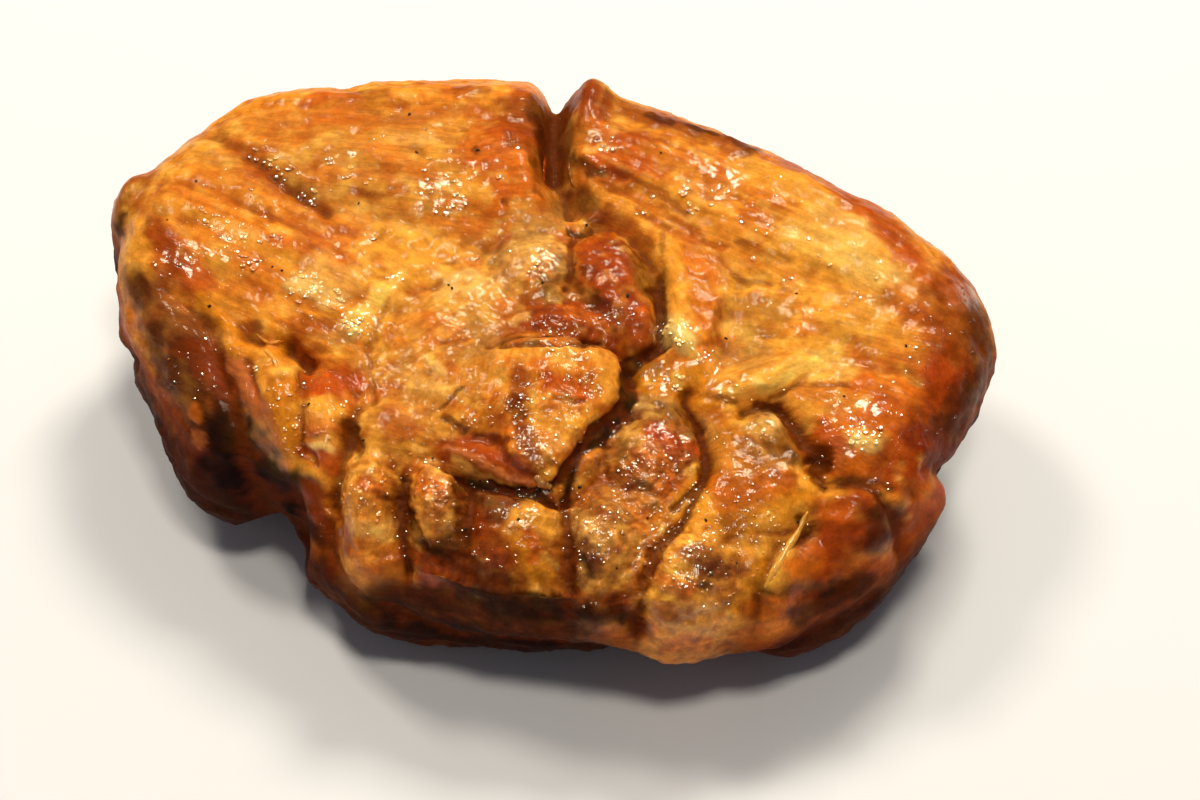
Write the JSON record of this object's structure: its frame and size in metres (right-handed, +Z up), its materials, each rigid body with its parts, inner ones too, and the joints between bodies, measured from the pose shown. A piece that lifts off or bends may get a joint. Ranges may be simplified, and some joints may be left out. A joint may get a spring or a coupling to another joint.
{
  "type": "pork neck",
  "caption": "Thick roasted pork neck slice: browned muscles parted by fat seams and cracks, a rear notch, a flap of crust, sides drawn in to a flat foot.",
  "frame": {"origin": "middle of the slice's bounding box, on the ground that its flat foot rests on", "axes": "+X along the long side of the slice, +Y towards the notch at the back, +Z up out of the cut face"},
  "size_m": [0.151, 0.1154, 0.0466],
  "materials": {
    "roast_meat": "greasy browned crust"
  },
  "bodies": {
    "root": {"pork_neck": "roast_meat"}
  },
  "joints": []
}
